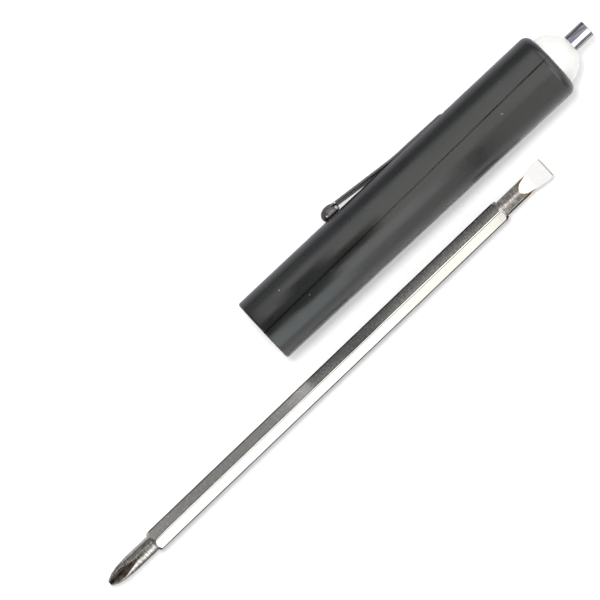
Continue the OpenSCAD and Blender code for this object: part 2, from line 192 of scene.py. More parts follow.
# Places and widths that several cards share
tool_mid = (0, 0, 0)
neck_x, neck_card_w = 0.0409, 0.0068
cross_x, cross_card_w = -0.0718, 0.0164
magnet_x, magnet_card_w = 0.075, 0.0086
magnet_mid = (magnet_x, 0.0044, 0.0078)
flag_z = 0.03

card("ceiling_card", (3.0, 1.4), (0, 0.15, 1.0), (0, 0.15, 0), 2.1, "#fffffa")
card("upper_left_card", (2.4, 0.4), (0, 0.68, 0.52), tool_mid, 1.9)
card("left_low_card", (2.4, 0.2), (0, 0.8, 0.11), tool_mid, 0.1, "#e8f6ff")
card("end_card", (0.9, 0.5), (0.6, 0, 0.33), (0.06, 0, 0), 2.5)
card("left_table_card", (1.4, 0.36), (0, 0.22, 0.0006), (0, 0.22, 1), 0.2, "#e8f2ff")
card("left_rim_card", (0.2, 0.027), (0.01, 0.0265, 0.0006), (0.01, 0.0265, 1), 0.85, "#f6f2ff")
card("right_card", (0.7, 0.4), (0, -0.42, 0.24), tool_mid, 1.45, "#fffffa")
# Small ones near the blade: a dark one beside its upright flat, a black board that deepens its
# shadow, and one above its left side beyond the mouth
card("blade_side_card", (0.1, 0.0038), (-0.0135, -0.0145, 0.002), (-0.013654, -0.0011, 0.002), 0.08)
card("blade_shade_board", (0.116, 0.004), (-0.015, -0.0141, 0.002), (-0.0035, -1.0141, 0.002), 0.0,
     in_reflections=False)
card("blade_flag", (0.0469, 0.09), (-0.03995, 0.04, 0.036), (-0.03995, -0.012, 0.003), 0.25)
# Small ones near its flat end
card("neck_left_card", (neck_card_w, 0.0115), (neck_x, -0.0078, 0.0062), (neck_x, -0.0178, 0.0062), 0.6)
card("neck_right_card", (0.0056, 0.05), (0.0419, -0.034, 0.022), (0.0419, -0.0117, 0.0045), 0.35)
card("neck_table_card", (neck_card_w, 0.008), (neck_x, -0.0173, 0.0005), (neck_x, -0.0173, 1), 0.02)
# Small ones near its cross end, where the white stripe lies beside a dark one
card("cross_left_card", (cross_card_w, 0.09), (cross_x, 0.04, 0.036), (cross_x, -0.012, 0.003), 0.3)
card("cross_flag", (cross_card_w, 0.0325), (cross_x, -0.0195, 0.033), (cross_x, -0.0195, 0), 0.1)
card("cross_stripe_card", (cross_card_w, 0.018), (cross_x, -0.0389, 0.0163),
     (cross_x, -0.0122, 0.0027), 3.8)
card("cross_end_card", (0.6, 0.25), (-0.35, 0.1, 0.1), (-0.07, -0.012, 0.003), 0.25)
card("cross_table_card", (cross_card_w, 0.012), (cross_x, -0.0205, 0.0005), (cross_x, -0.0205, 1), 0.3)
# Small ones near the mouth, where a bright band lies beside a dark one
card("mouth_right_card", (0.08, 0.034), (-0.035, -0.03, 0.036), (-0.035, 0.0, 0.0145), 2.8, "#f4fbff")
card("mouth_flag", (0.022, 0.0163), (-0.019, 0.0032, flag_z), (-0.019, 0.0032, 0), 0.0)
card("mouth_wide_flag", (0.011, 0.031), (-0.0025, 0.0065, flag_z), (-0.0025, 0.0065, 0), 0.12)
card("mouth_end_flag", (0.013, 0.01235), (0.0095, 0.00518, flag_z), (0.0095, 0.00518, 0), 0.0)
card("mouth_low_card", (0.02, 0.024), (-0.0075, 0.07, 0.016), (-0.0075, 0.0, 0.016), 0.55)
card("middle_right_card", (0.03, 0.024), (0.019, -0.0205, 0.0445), (0.019, 0.0015, 0.0147), 2.75)
# Small ones near the magnet, for its white stripe between darker sides
card("magnet_flag", (magnet_card_w, 0.045), (magnet_x, 0.0203, 0.0332), magnet_mid, 0.95, "#f2f0ff")
card("magnet_stripe_card", (magnet_card_w, 0.042), (magnet_x, -0.0162, 0.0421), magnet_mid, 4.6)
card("magnet_right_flag", (magnet_card_w, 0.024), (magnet_x, -0.0251, 0.013), magnet_mid, 0.5)


# Barrel: two half shells moulded in charcoal ABS, joined along the fine lengthwise line.
# Each has a rounded shoulder at the domed end and a small lip round the mouth; the half
# on the clip's side has a flat seat and a slot, where the clip dives through the wall.
barrel_len = 82.2 * mm
mouth_r = 7.58 * mm
top_r = 7.75 * mm
shoulder_r = 1.9 * mm
lip_r = 0.5 * mm
bore_r = 4.8 * mm
plug_bore_r = 4.95 * mm
plug_bore_len = 8.6 * mm
seam_line = 0.36 * mm
seam_depth = 0.8 * mm
seam_yaw = math.radians(1.25)
seam_cross = 25 * mm
edge_round = 0.05 * mm
draft_len = barrel_len - shoulder_r
lip_steps = 4
draft_steps = 24
shoulder_steps = 16
around = 160
around_small = 96


def rounding(centre, radius, start, end, steps):
    """Points of an arc from one angle to another, in degrees, both ends included."""
    turns = [math.radians(start + (end - start) * i / steps) for i in range(steps + 1)]
    return [(centre[0] + radius * math.cos(a), centre[1] + radius * math.sin(a)) for a in turns]


def turned(profile, steps=around):
    """A solid turned about the X axis from an outline of length and radius."""
    bm = bmesh.new()
    points = [bm.verts.new((x, 0, r)) for x, r in profile]
    closed = profile[0][1] > 0 and profile[-1][1] > 0
    pairs = list(zip(points, points[1:])) + ([(points[-1], points[0])] if closed else [])
    lines = [bm.edges.new(pair) for pair in pairs]
    bmesh.ops.spin(bm, geom=points + lines, cent=(0, 0, 0), axis=(1, 0, 0), dvec=(0, 0, 0),
                   angle=2 * math.pi, steps=steps, use_merge=True)
    bmesh.ops.remove_doubles(bm, verts=bm.verts, dist=1e-7)
    return bm


def extruded(outline, width, way="Y"):
    """A solid of an outline of two measures, given an even width across its middle."""
    bm = bmesh.new()
    low = -width / 2
    corners = [(a, low, b) if way == "Y" else (a, b, low) for a, b in outline]
    face = bm.faces.new([bm.verts.new(c) for c in corners])
    pushed = bmesh.ops.extrude_face_region(bm, geom=[face])["geom"]
    new = [g for g in pushed if isinstance(g, bmesh.types.BMVert)]
    bmesh.ops.translate(bm, verts=new, vec=(0, width, 0) if way == "Y" else (0, 0, width))
    return bm


def solid(name, bm, place=Matrix.Identity(4)):
    """An object of a closed mesh, with its faces turned outwards."""
    bmesh.ops.transform(bm, verts=bm.verts, matrix=place)
    bmesh.ops.recalc_face_normals(bm, faces=bm.faces)
    mesh = bpy.data.meshes.new(name)
    bm.to_mesh(mesh)
    bm.free()
    made = bpy.data.objects.new(name, mesh)
    scene.collection.objects.link(made)
    return made


def settle(piece):
    """Fixes a piece's modifiers into its mesh."""
    shape = piece.evaluated_get(bpy.context.evaluated_depsgraph_get())
    old = piece.data
    piece.data = bpy.data.meshes.new_from_object(shape)
    piece.modifiers.clear()
    bpy.data.meshes.remove(old)


def carve(piece, tool, how="DIFFERENCE"):
    """Cuts, joins or keeps what is common of a piece and a tool solid, which is used up."""
    cut = piece.modifiers.new("cut", "BOOLEAN")
    cut.object = tool
    cut.operation = how
    cut.solver = "EXACT"
    settle(piece)
    bpy.data.objects.remove(tool)


def soften(piece, width, limit, segments=2):
    """Rounds a piece's edges that turn by more than a limit in degrees, and shades it smoothly."""
    edge = piece.modifiers.new("edge", "BEVEL")
    edge.width = width
    edge.segments = segments
    edge.limit_method = "ANGLE"
    edge.angle_limit = math.radians(limit)
    edge.use_clamp_overlap = True
    settle(piece)
    smooth_by_angle(piece)


def smooth_by_angle(piece, crease=32):
    """Smooth faces, with sharp edges where they turn by more than the crease in degrees."""
    bm = bmesh.new()
    bm.from_mesh(piece.data)
    for face in bm.faces:
        face.smooth = True
    for edge in bm.edges:
        edge.smooth = not edge.is_manifold or edge.calc_face_angle(0) < math.radians(crease)
    bm.to_mesh(piece.data)
    bm.free()
    flat = piece.modifiers.new("flat_faces_stay_flat", "WEIGHTED_NORMAL")
    flat.keep_sharp = True
    flat.weight = 90


def skin_profile(inset=0.0):
    """Outline of the barrel's outside from the mouth to the domed end."""
    lip = rounding((lip_r, mouth_r - lip_r), lip_r, 180, 90, lip_steps)
    shoulder = rounding((draft_len, top_r - shoulder_r), shoulder_r, 90, 0, shoulder_steps)
    between = [
        (draft_len * i / draft_steps, mouth_r + (top_r - mouth_r) * i / draft_steps)
        for i in range(1, draft_steps)
    ]
    return [(x, r - inset) for x, r in lip + between + shoulder]


barrel_turn = Vector((1, 0, 0)).rotation_difference(barrel_way).to_matrix().to_4x4()
on_barrel = Matrix.Translation(mouth_at) @ barrel_turn
inner = [(barrel_len, plug_bore_r), (barrel_len - plug_bore_len, plug_bore_r),
         (barrel_len - plug_bore_len, bore_r), (0, bore_r)]
barrel = solid("barrel", turned(skin_profile() + inner), on_barrel)

# The fine line: a thin slab on the joint plane, less the core that it doesn't reach
reach = 2 * barrel_len
joint_turn = on_barrel @ Matrix.Translation((seam_cross, 0, 0)) @ Matrix.Rotation(seam_yaw, 4, "Z")
slab_outline = [(-reach, -top_r * 2), (reach, -top_r * 2), (reach, top_r * 2), (-reach, top_r * 2)]
slab = solid("seam_slab", extruded(slab_outline, seam_line), joint_turn)
core_profile = (
    [(-lip_r, 0), (-lip_r, mouth_r - seam_depth)]
    + skin_profile(seam_depth)[lip_steps:]
    + [(barrel_len + lip_r, top_r - shoulder_r - seam_depth), (barrel_len + lip_r, 0)]
)
carve(slab, solid("seam_core", turned(core_profile), on_barrel))
carve(barrel, slab)

# The clip's seat and slot, in the plane through the barrel's axis and the clip
clip_turn = math.radians(101)
clip_place = on_barrel @ Matrix.Rotation(-clip_turn, 4, "X")
hinge = Vector(joints["clip_flex"]["pos_m"])
hinge_x = (clip_place.inverted() @ hinge).x
hinge_r = (clip_place.inverted() @ hinge).z
strip_t = 0.5 * mm
strip_w = 4.6 * mm
strip_gap = 0.1 * mm
seat_x = 40.1 * mm
dive_start = hinge_x + 3 * strip_t
dive_end = dive_start + 2.4 * mm
root_r = plug_bore_r + strip_t / 2
seat_r = hinge_r - strip_t / 2 - strip_gap
seat_outline = [
    (seat_x, 2 * top_r),
    (seat_x, seat_r),
    (dive_start - strip_t / 2, seat_r),
    (dive_end - strip_t, root_r - strip_t / 2 - strip_gap),
    (dive_end + 2 * strip_t, root_r - strip_t / 2 - strip_gap),
    (dive_end + 2 * strip_t, root_r + strip_t / 2 + strip_gap),
    (dive_end + strip_t, root_r + strip_t / 2 + strip_gap),
    (dive_start + 2 * strip_t, hinge_r + strip_t / 2 + strip_gap),
    (dive_start + 2 * strip_t, 2 * top_r),
]
carve(barrel, solid("clip_seat", extruded(seat_outline, strip_w + 2 * strip_gap), clip_place))


def mixed(tree, share, first, second):
    """One colour laid over another by a share."""
    both = add(tree, "Mix", {0: share}, data_type="RGBA")
    for key, value in ((6, first), (7, second)):
        if isinstance(value, bpy.types.NodeSocket):
            tree.links.new(value, both.inputs[key])
        else:
            both.inputs[key].default_value = value
    return both.outputs[2]


def mark(tree, place, spot, length, width, turn):
    """1 inside a small oval mark round a place on the skin, and 0 outside it."""
    near = add(tree, "VectorMath", {0: place, 1: spot}, operation="SUBTRACT")
    oval = add(tree, "Mapping", {"Vector": near.outputs[0], "Rotation": (0, 0, math.radians(turn))})
    to_round = (2 / length, 2 / width, 1 / mm)
    size = add(tree, "VectorMath", {0: oval.outputs[0], 1: to_round}, operation="MULTIPLY")
    far = add(tree, "VectorMath", {0: size.outputs[0]}, operation="LENGTH").outputs["Value"]
    return add(tree, "MapRange", {"Value": far, "From Min": 1.1, "From Max": 0.7}).outputs[0]


def two_tones(tree, share, *stops):
    """A colour that runs between two stops of a share, each a position and a colour code."""
    ramp = add(tree, "ValToRGB", {"Fac": share})
    for element, (position, code) in zip(ramp.color_ramp.elements, stops):
        element.position = position
        element.color = colour(code)
    return ramp.outputs[0]


def dull_unevenly(tree, shader, share, low, high, start=0.0, end=1.0):
    """Gives a shader a roughness that runs from low to high where a share runs from start to end."""
    patches = add(tree, "MapRange", {"Value": share, "From Min": start, "From Max": end,
                                     "To Min": low, "To Max": high})
    tree.links.new(patches.outputs[0], shader.inputs["Roughness"])


def bump(tree, shader, height, strength, depth):
    """Gives a shader's skin a bump from a height, whose full depth is in metres."""
    skin = add(tree, "Bump", {"Height": height, "Strength": strength, "Distance": depth})
    tree.links.new(skin.outputs[0], shader.inputs["Normal"])


def charcoal_abs():
    """Charcoal ABS, injection moulded: semi-gloss, with faint cloudy flow and fine handling marks."""
    finish, tree, shader = finish_named("moulded_charcoal_abs", Roughness=0.29)
    place = add(tree, "TexCoord").outputs["Object"]
    # Flow clouds are long along the barrel, about 12 mm by 3 mm
    clouds = add(tree, "Mapping", {"Vector": place, "Scale": (80, 320, 320)})
    cloud = add(tree, "TexNoise", {"Vector": clouds.outputs[0], "Scale": 1.0, "Detail": 3.0,
                                   "Roughness": 0.55})
    skin_tone = two_tones(tree, cloud.outputs["Fac"], (0.3, "#1b1d1c"), (0.7, "#212321"))
    # Dust specks of 0.2 mm at most, about one to every five square centimetres
    cells = add(tree, "TexVoronoi", {"Vector": place, "Scale": 420.0})
    dust = add(tree, "MapRange", {"Value": cells.outputs["Distance"], "From Min": 0.05, "From Max": 0.025})
    pick = add(tree, "SeparateColor", {0: cells.outputs["Color"]})
    rare = add(tree, "Math", {0: pick.outputs[0], 1: 0.9}, operation="GREATER_THAN")
    speck = add(tree, "Math", {0: dust.outputs[0], 1: rare.outputs[0]}, operation="MULTIPLY")
    skin_tone = mixed(tree, speck.outputs[0], skin_tone, colour("#6a6c6a"))
    # Two pale nicks near the mouth, a dark chip by the clip, and a short pale scratch near the dome
    for x, y, length, width, turn, code in (
        (8.3, 3.9, 0.32, 0.22, 0, "#9a9c9a"),
        (12.3, -1.1, 0.24, 0.2, 0, "#8a8c8a"),
        (29.1, 4.7, 0.85, 0.26, -47, "#050505"),
        (66.8, -0.9, 0.7, 0.16, 20, "#8f918f"),
    ):
        up = math.sqrt(mouth_r**2 - (y * mm) ** 2)
        spot = mouth_at + barrel_way * (x * mm) + Vector((0, y * mm, up))
        inside = mark(tree, place, spot, length * mm, width * mm, turn)
        skin_tone = mixed(tree, inside, skin_tone, colour(code))
    tree.links.new(skin_tone, shader.inputs["Base Color"])
    # The gloss varies a little where hands have rubbed the skin, in patches of about 4 mm
    rubbed = add(tree, "TexNoise", {"Vector": place, "Scale": 250.0, "Detail": 4.0})
    dull_unevenly(tree, shader, rubbed.outputs["Fac"], 0.25, 0.33, start=0.35, end=0.65)
    # Mould texture of about 0.25 mm, a few microns deep
    grain = add(tree, "TexNoise", {"Vector": place, "Scale": 4000.0, "Detail": 2.0})
    bump(tree, shader, grain.outputs["Fac"], 0.25, 8 * micron)
    return finish


barrel.data.materials.append(charcoal_abs())
half_block = [(-reach, 0), (reach, 0), (reach, reach), (-reach, reach)]
other_block = [(-reach, -reach), (reach, -reach), (reach, 0), (-reach, 0)]
for name, outline, node in (("clip_side_half", half_block, "clip_side_shell"),
                            ("plain_side_half", other_block, "plain_side_shell")):
    half = solid(name, bmesh.new())
    half.data = barrel.data.copy()
    carve(half, solid(name + "_block", extruded(outline, 4 * top_r, way="Z"), joint_turn), "INTERSECT")
    soften(half, edge_round, limit=50)
    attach(half, "barrel")
    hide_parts(node)
bpy.data.objects.remove(barrel)


# Blade sleeve: a black nylon moulding inside the shells, whose hex socket opens at the mouth.
# Catch spring: a small bow of bright spring steel in the sleeve's slot.
def black_nylon():
    """Black glass-filled nylon, injection moulded: matt, with a fine fibrous grain."""
    finish, tree, shader = finish_named("moulded_black_nylon", Base_Color=colour("#1d1d1e"), Roughness=0.5)
    place = add(tree, "TexCoord").outputs["Object"]
    fibres = add(tree, "TexNoise", {"Vector": place, "Scale": 3000.0, "Detail": 3.0})
    dull_unevenly(tree, shader, fibres.outputs["Fac"], 0.42, 0.6)
    bump(tree, shader, fibres.outputs["Fac"], 0.3, 10 * micron)
    return finish


def spring_steel():
    """Tempered spring steel strip: bright, with fine rolling marks along its length."""
    finish, tree, shader = finish_named("rolled_spring_steel", Base_Color=colour("#a8abae"),
                                        Metallic=1.0, Roughness=0.3)
    place = add(tree, "TexCoord").outputs["Object"]
    rolled = add(tree, "Mapping", {"Vector": place, "Scale": (400, 9000, 9000)})
    marks = add(tree, "TexNoise", {"Vector": rolled.outputs[0], "Scale": 1.0, "Detail": 2.0})
    bump(tree, shader, marks.outputs["Fac"], 0.3, 6 * micron)
    return finish


for node, finish in (("blade_sleeve", black_nylon()), ("catch_spring", spring_steel())):
    part = frame["nodes"][node]
    part.data.materials.clear()
    part.data.materials.append(finish)


# Dome plug: white glossy plastic, turned up here from its section, with its spigot in the barrel.
# Its round top has a hole in the middle, in which the rod magnet is pressed.
dome_r = 5.85 * mm
dome_h = 5.62 * mm
spigot_r = 4.9 * mm
spigot_len = 3 * mm
magnet_r = 3.97 / 2 * mm
dome_ball_r = (dome_r**2 + dome_h**2) / (2 * dome_h)
hole_edge = 0.08 * mm
base_x = barrel_len
ball_x = base_x + dome_h - dome_ball_r
base_angle = math.degrees(math.atan2(dome_r, base_x - ball_x))
hole_angle = math.degrees(math.asin((magnet_r + hole_edge) / dome_ball_r))
dome_profile = (
    [(base_x - spigot_len, magnet_r), (base_x - spigot_len, spigot_r), (base_x, spigot_r)]
    + rounding((ball_x, 0), dome_ball_r, base_angle, hole_angle, 40)
    + [(ball_x + math.sqrt(dome_ball_r**2 - magnet_r**2) - hole_edge, magnet_r)]
)


def white_plastic():
    """White polystyrene, injection moulded: glossy, a warm white with a slight unevenness."""
    finish, tree, shader = finish_named("moulded_white_polystyrene", Roughness=0.16, Coat_Weight=0.2)
    shader.inputs["Coat Roughness"].default_value = 0.08
    place = add(tree, "TexCoord").outputs["Object"]
    clouds = add(tree, "TexNoise", {"Vector": place, "Scale": 180.0, "Detail": 3.0})
    tone = two_tones(tree, clouds.outputs["Fac"], (0.35, "#f5f4f1"), (0.65, "#fafaf7"))
    tree.links.new(tone, shader.inputs["Base Color"])
    waves = add(tree, "TexNoise", {"Vector": place, "Scale": 700.0, "Detail": 2.0})
    bump(tree, shader, waves.outputs["Fac"], 0.12, 10 * micron)
    return finish


dome = solid("white_dome", turned(dome_profile), on_barrel)
dome.data.materials.append(white_plastic())
smooth_by_angle(dome)
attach(dome, "barrel")
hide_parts("dome_plug")


# Pick-up magnet: a drawn rod plated with bright nickel, pressed into the dome.
# Its end is faced flat, and the edge round it is broken.
magnet_end = (mounts["magnet_face"] - mouth_at).length
magnet_start = magnet_end - (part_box("pickup_magnet")[1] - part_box("pickup_magnet")[0]).x
magnet_edge = 0.15 * mm
magnet_profile = (
    [(magnet_start, 0), (magnet_start, magnet_r)]
    + rounding((magnet_end - magnet_edge, magnet_r - magnet_edge), magnet_edge, 90, 0, 5)
    + [(magnet_end, 0)]
)


def drawn_nickel():
    """Bright nickel over a drawn rod: mirror-like, with fine lines along it."""
    finish, tree, shader = finish_named("bright_nickel_on_drawn_rod", Metallic=1.0)
    place = add(tree, "TexCoord").outputs["Object"]
    lines = add(tree, "Mapping", {"Vector": place, "Scale": (250, 4500, 4500)})
    line = add(tree, "TexNoise", {"Vector": lines.outputs[0], "Scale": 1.0, "Detail": 3.0,
                                  "Roughness": 0.6})
    bump(tree, shader, line.outputs["Fac"], 0.4, 30 * micron)
    shade = add(tree, "MapRange", {"Value": line.outputs["Fac"], "From Min": 0.4, "From Max": 0.6})
    drawn_tone = mixed(tree, shade.outputs[0], colour("#78777b"), colour("#a9a8ac"))
    tree.links.new(drawn_tone, shader.inputs["Base Color"])
    fog = add(tree, "TexNoise", {"Vector": place, "Scale": 1200.0, "Detail": 3.0})
    dull_unevenly(tree, shader, fog.outputs["Fac"], 0.06, 0.16)
    return finish


magnet = solid("magnet_rod", turned(magnet_profile, around_small), on_barrel)
magnet.data.materials.append(drawn_nickel())
smooth_by_angle(magnet)
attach(magnet, "barrel")
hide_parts("pickup_magnet")


# Pocket clip: one strip of spring steel, blanked, bent and plated with dull nickel.
# It lies in its seat, dives through the slot at one end, and stands off the barrel at the
# other, where it narrows to a round button that bears on the barrel.
neck_w = 3.8 * mm
bend_x = 44 * mm
bend_r = 40 * mm
seat_slope = math.radians(0.8)
arm_slope = math.radians(6.05)
button_x = 27.05 * mm
button_r = 2.2 * mm
button_h = 2.38 * mm
button_edge = 0.7 * mm
hook_x = 77.15 * mm
hook_h = 0.9 * mm
strip_edge = 0.13 * mm
fold_r = 0.55 * mm
bend_steps = 8
bend_at_r = hinge_r + (hinge_x - bend_x) * math.tan(seat_slope)
bend_cut = bend_r * math.tan((arm_slope - seat_slope) / 2)
button_mid_r = bend_at_r + (bend_x - button_x) * math.tan(arm_slope)
button_low_r = mouth_r + (top_r - mouth_r) * button_x / draft_len + strip_gap
hub = (bend_x + bend_cut * math.cos(seat_slope) + bend_r * math.sin(seat_slope),
       bend_at_r - bend_cut * math.sin(seat_slope) + bend_r * math.cos(seat_slope))
bend_line = [
    (hub[0] - bend_r * math.sin(a), hub[1] - bend_r * math.cos(a))
    for a in [arm_slope + (seat_slope - arm_slope) * i / bend_steps for i in range(bend_steps + 1)]
]
seat_steps = [hinge_x - 6 * mm + 1 * mm * i for i in range(1, 7)]
strip_line = (
    [(button_x, button_mid_r)]
    + bend_line
    + [(x, hinge_r + (hinge_x - x) * math.tan(seat_slope)) for x in seat_steps]
    + [(dive_start, hinge_r), (dive_end, root_r), (hook_x, root_r), (hook_x, root_r + hook_h)]
)


def strip_width(x):
    """Width of the strip, which narrows from its hinge to the button."""
    share = min(max((hinge_x - x) / (hinge_x - button_x), 0), 1)
    return strip_w + (neck_w - strip_w) * share


bm = bmesh.new()
rows = [[bm.verts.new((x, side * strip_width(x) / 2, r)) for side in (-1, 1)] for x, r in strip_line]
for near, far in zip(rows, rows[1:]):
    bm.faces.new([near[0], near[1], far[1], far[0]])
fold_points = [(dive_start, hinge_r), (dive_end, root_r), (hook_x, root_r)]
folds = [bm.edges.get(rows[strip_line.index(point)]) for point in fold_points]
bmesh.ops.bevel(bm, geom=folds, offset=fold_r, offset_type="OFFSET", segments=5, profile=0.5,
                affect="EDGES", material=-1)
bmesh.ops.recalc_face_normals(bm, faces=bm.faces)
bmesh.ops.solidify(bm, geom=bm.faces[:], thickness=strip_t)
# The strip's thickness grows to one side, so the strip moves until its middle is on its line
end_heights = [v.co.z for v in bm.verts if abs(v.co.x - button_x) < 0.3 * mm]
middle = sum(end_heights) / len(end_heights)
bmesh.ops.translate(bm, verts=bm.verts, vec=(0, 0, button_mid_r - middle))
clip = solid("pocket_clip", bm, clip_place)
soften(clip, strip_edge, limit=60, segments=3)

crown_r = button_h - button_edge
crown_in = button_r - crown_r
button_profile = (
    [(0, 0)]
    + rounding((button_edge, button_r - button_edge), button_edge, 180, 90, 10)
    + rounding((button_edge, crown_in), crown_r, 90, 0, 18)[1:]
    + [(button_h, 0)]
)
button_foot = Matrix.Translation((button_x, 0, button_low_r))
button_place = clip_place @ button_foot @ Matrix.Rotation(-math.pi / 2, 4, "Y")
button = solid("clip_button", turned(button_profile, 72), button_place)
carve(clip, button, "UNION")
smooth_by_angle(clip)


def dull_nickel():
    """Nickel plating over blanked and bent spring steel: grey, finely stippled, with soft edges, and with painted
    highlights and a painted paler side at the button.
    """
    finish, tree, shader = finish_named("dull_nickel_on_spring_steel")
    place = add(tree, "TexCoord").outputs["Object"]
    stipple = add(tree, "TexNoise", {"Vector": place, "Scale": 3200.0, "Detail": 3.0,
                                     "Roughness": 0.7})
    bump(tree, shader, stipple.outputs["Fac"], 0.4, 20 * micron)
    fog = add(tree, "TexNoise", {"Vector": place, "Scale": 900.0, "Detail": 3.0})
    dull_unevenly(tree, shader, fog.outputs["Fac"], 0.34, 0.52)
    # Painted light: the button's inner side, which faces the dark barrel, is painted paler and less metallic, and
    # the crease beside it and a spot on it are painted highlights
    tone, sheen = colour("#565253"), 0.6
    for x, y, length, width, code in (
        (27.3, 7.9, 3.2, 1.5, "#8f8b8a"),
        (29.15, 9.35, 0.5, 0.5, "#f2f0ec"),
        (28.9, 8.35, 0.9, 1.3, "#f2f0ec"),
        (26.0, 8.35, 0.4, 0.4, "#f2f0ec"),
    ):
        spot = mouth_at + barrel_way * (x * mm) + Vector((0, y * mm, 0))
        spot.z = max(v.co.z for v in clip.data.vertices if (v.co.xy - spot.xy).length < 0.5 * mm)
        inside = mark(tree, place, spot, length * mm, width * mm, 0)
        tone = mixed(tree, inside, tone, colour(code))
        sheen = add(tree, "Math", {0: sheen, 1: inside}, operation="SUBTRACT", use_clamp=True).outputs[0]
    tree.links.new(tone, shader.inputs["Base Color"])
    tree.links.new(sheen, shader.inputs["Metallic"])
    return finish


clip.data.materials.clear()
clip.data.materials.append(dull_nickel())
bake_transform(clip)
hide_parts("clip_root", "clip_arm")


# Blade: one bar of drawn hexagonal steel with its long edges rounded by drawing.
# Both ends are turned down to a neck; one is milled with four flutes to a cross point, and
# the other is pressed and ground to a flared flat. The whole is plated with satin nickel.
nose_at = mounts["cross_point"]
blade_way = Vector(joints["blade_slide"]["axis"])
blade_len = (mounts["flat_tip"] - nose_at).length
across_flats = 4.76 * mm
long_edge_r = 0.45 * mm
cross_len = 12.4 * mm
flat_len = 12.7 * mm
hex_len = blade_len - cross_len - flat_len
hex_bevel = 1 * mm
hex_end_r = 2.15 * mm
neck_r = 3.75 / 2 * mm
nose_r = 0.65 * mm
nose_len = 1.5 * mm
nose_root_r = 2.95 / 2 * mm
nose_taper = 1.7 * mm
# Depth of a flute's floor from the axis, along the blade
flute_line = [
    (-neck_r, 0.29 * mm),
    (0, 0.3 * mm),
    (3.5 * mm, 0.45 * mm),
    (8.3 * mm, 1.875 * mm),
    (11.5 * mm, 2.83 * mm),
]
flute_turn = math.radians(6)
press_len = 7.6 * mm
pinch_len = 3.6 * mm
flat_root_t = 1.4 * mm
flat_t = 0.8 * mm
pinch_w = 4.0 * mm
flare_w = 4.9 * mm
flat_w = 4.62 * mm
flare_back = 1.3 * mm
blade_edge = 0.06 * mm
corner_r = across_flats / math.sqrt(3)
blade_place = Matrix.Translation(nose_at) @ Matrix.Rotation(math.atan2(blade_way.y, blade_way.x), 4, "Z")
hex_end = cross_len + hex_len

bm = bmesh.new()
bmesh.ops.create_circle(bm, cap_ends=True, segments=6, radius=corner_r)
bmesh.ops.rotate(bm, verts=bm.verts, cent=(0, 0, 0), matrix=Matrix.Rotation(math.pi / 2, 3, "Z"))
bmesh.ops.rotate(bm, verts=bm.verts, cent=(0, 0, 0), matrix=Matrix.Rotation(math.pi / 2, 3, "Y"))
bmesh.ops.translate(bm, verts=bm.verts, vec=(cross_len, 0, 0))
pulled = bmesh.ops.extrude_face_region(bm, geom=bm.faces[:])["geom"]
far_end = [g for g in pulled if isinstance(g, bmesh.types.BMVert)]
bmesh.ops.translate(bm, verts=far_end, vec=(hex_len, 0, 0))
long_edges = [e for e in bm.edges if abs(e.verts[0].co.x - e.verts[1].co.x) > hex_len / 2]
long_edge_cut = long_edge_r * math.tan(math.radians(30))
bmesh.ops.bevel(bm, geom=long_edges, offset=long_edge_cut, offset_type="OFFSET", segments=6,
                profile=0.5, affect="EDGES", material=-1)
blade = solid("blade_bar", bm, blade_place)
ends_profile = [
    (cross_len - hex_bevel, 0),
    (cross_len - hex_bevel, hex_end_r - (corner_r - hex_end_r)),
    (cross_len + hex_bevel, corner_r),
    (hex_end - hex_bevel, corner_r),
    (hex_end + hex_bevel, hex_end_r - (corner_r - hex_end_r)),
    (hex_end + hex_bevel, 0),
]
carve(blade, solid("bar_ends", turned(ends_profile, around_small), blade_place), "INTERSECT")

cross_profile = [
    (0, 0),
    (0, nose_r),
    (nose_len, nose_root_r),
    (nose_len + nose_taper, neck_r),
    (cross_len + hex_bevel, neck_r),
    (cross_len + hex_bevel, 0),
]
cross = solid("cross_neck", turned(cross_profile, around_small), blade_place)
flute_side = 2 * neck_r
for i in range(4):
    bm = bmesh.new()
    rows = [
        [bm.verts.new((x, y, r + abs(y))) for y in (-flute_side, 0, flute_side)]
        for x, r in flute_line
    ]
    for near, far in zip(rows, rows[1:]):
        for a, b in ((0, 1), (1, 2), (2, 0)):
            bm.faces.new([near[a], near[b], far[b], far[a]])
    bm.faces.new(rows[0])
    bm.faces.new(rows[-1])
    spread = Matrix.Rotation(i * math.pi / 2 + flute_turn, 4, "X")
    carve(cross, solid("flute", bm, blade_place @ spread))
carve(blade, cross, "UNION")

press_x = blade_len - press_len
dent_x = press_x + pinch_len / 3
pinch_x = press_x + pinch_len
flare_x = blade_len - flare_back
dent_t = flat_root_t / 2 + (neck_r - flat_root_t / 2) * 0.55
dent_w = math.sqrt(neck_r**2 - dent_t**2) * 0.9
neck_profile = [(hex_end - hex_bevel, 0), (hex_end - hex_bevel, neck_r), (pinch_x, neck_r), (pinch_x, 0)]
flat = solid("flat_neck", turned(neck_profile, around_small), blade_place)
half_plan = [(dent_x, dent_w), (pinch_x, pinch_w / 2), (flare_x, flare_w / 2), (blade_len, flat_w / 2)]
plan = half_plan + [(x, -y) for x, y in reversed(half_plan)]
carve(flat, solid("flat_plan", extruded(plan, 2 * neck_r, way="Z"), blade_place), "UNION")
half_side = [(hex_end - hex_bevel, 1.2 * neck_r), (press_x, neck_r), (dent_x, dent_t),
             (pinch_x, flat_root_t / 2), (blade_len, flat_t / 2)]
side = half_side + [(x, -z) for x, z in reversed(half_side)]
carve(flat, solid("flat_side", extruded(side, 3 * flare_w), blade_place), "INTERSECT")
carve(blade, flat, "UNION")
soften(blade, blade_edge, limit=24)


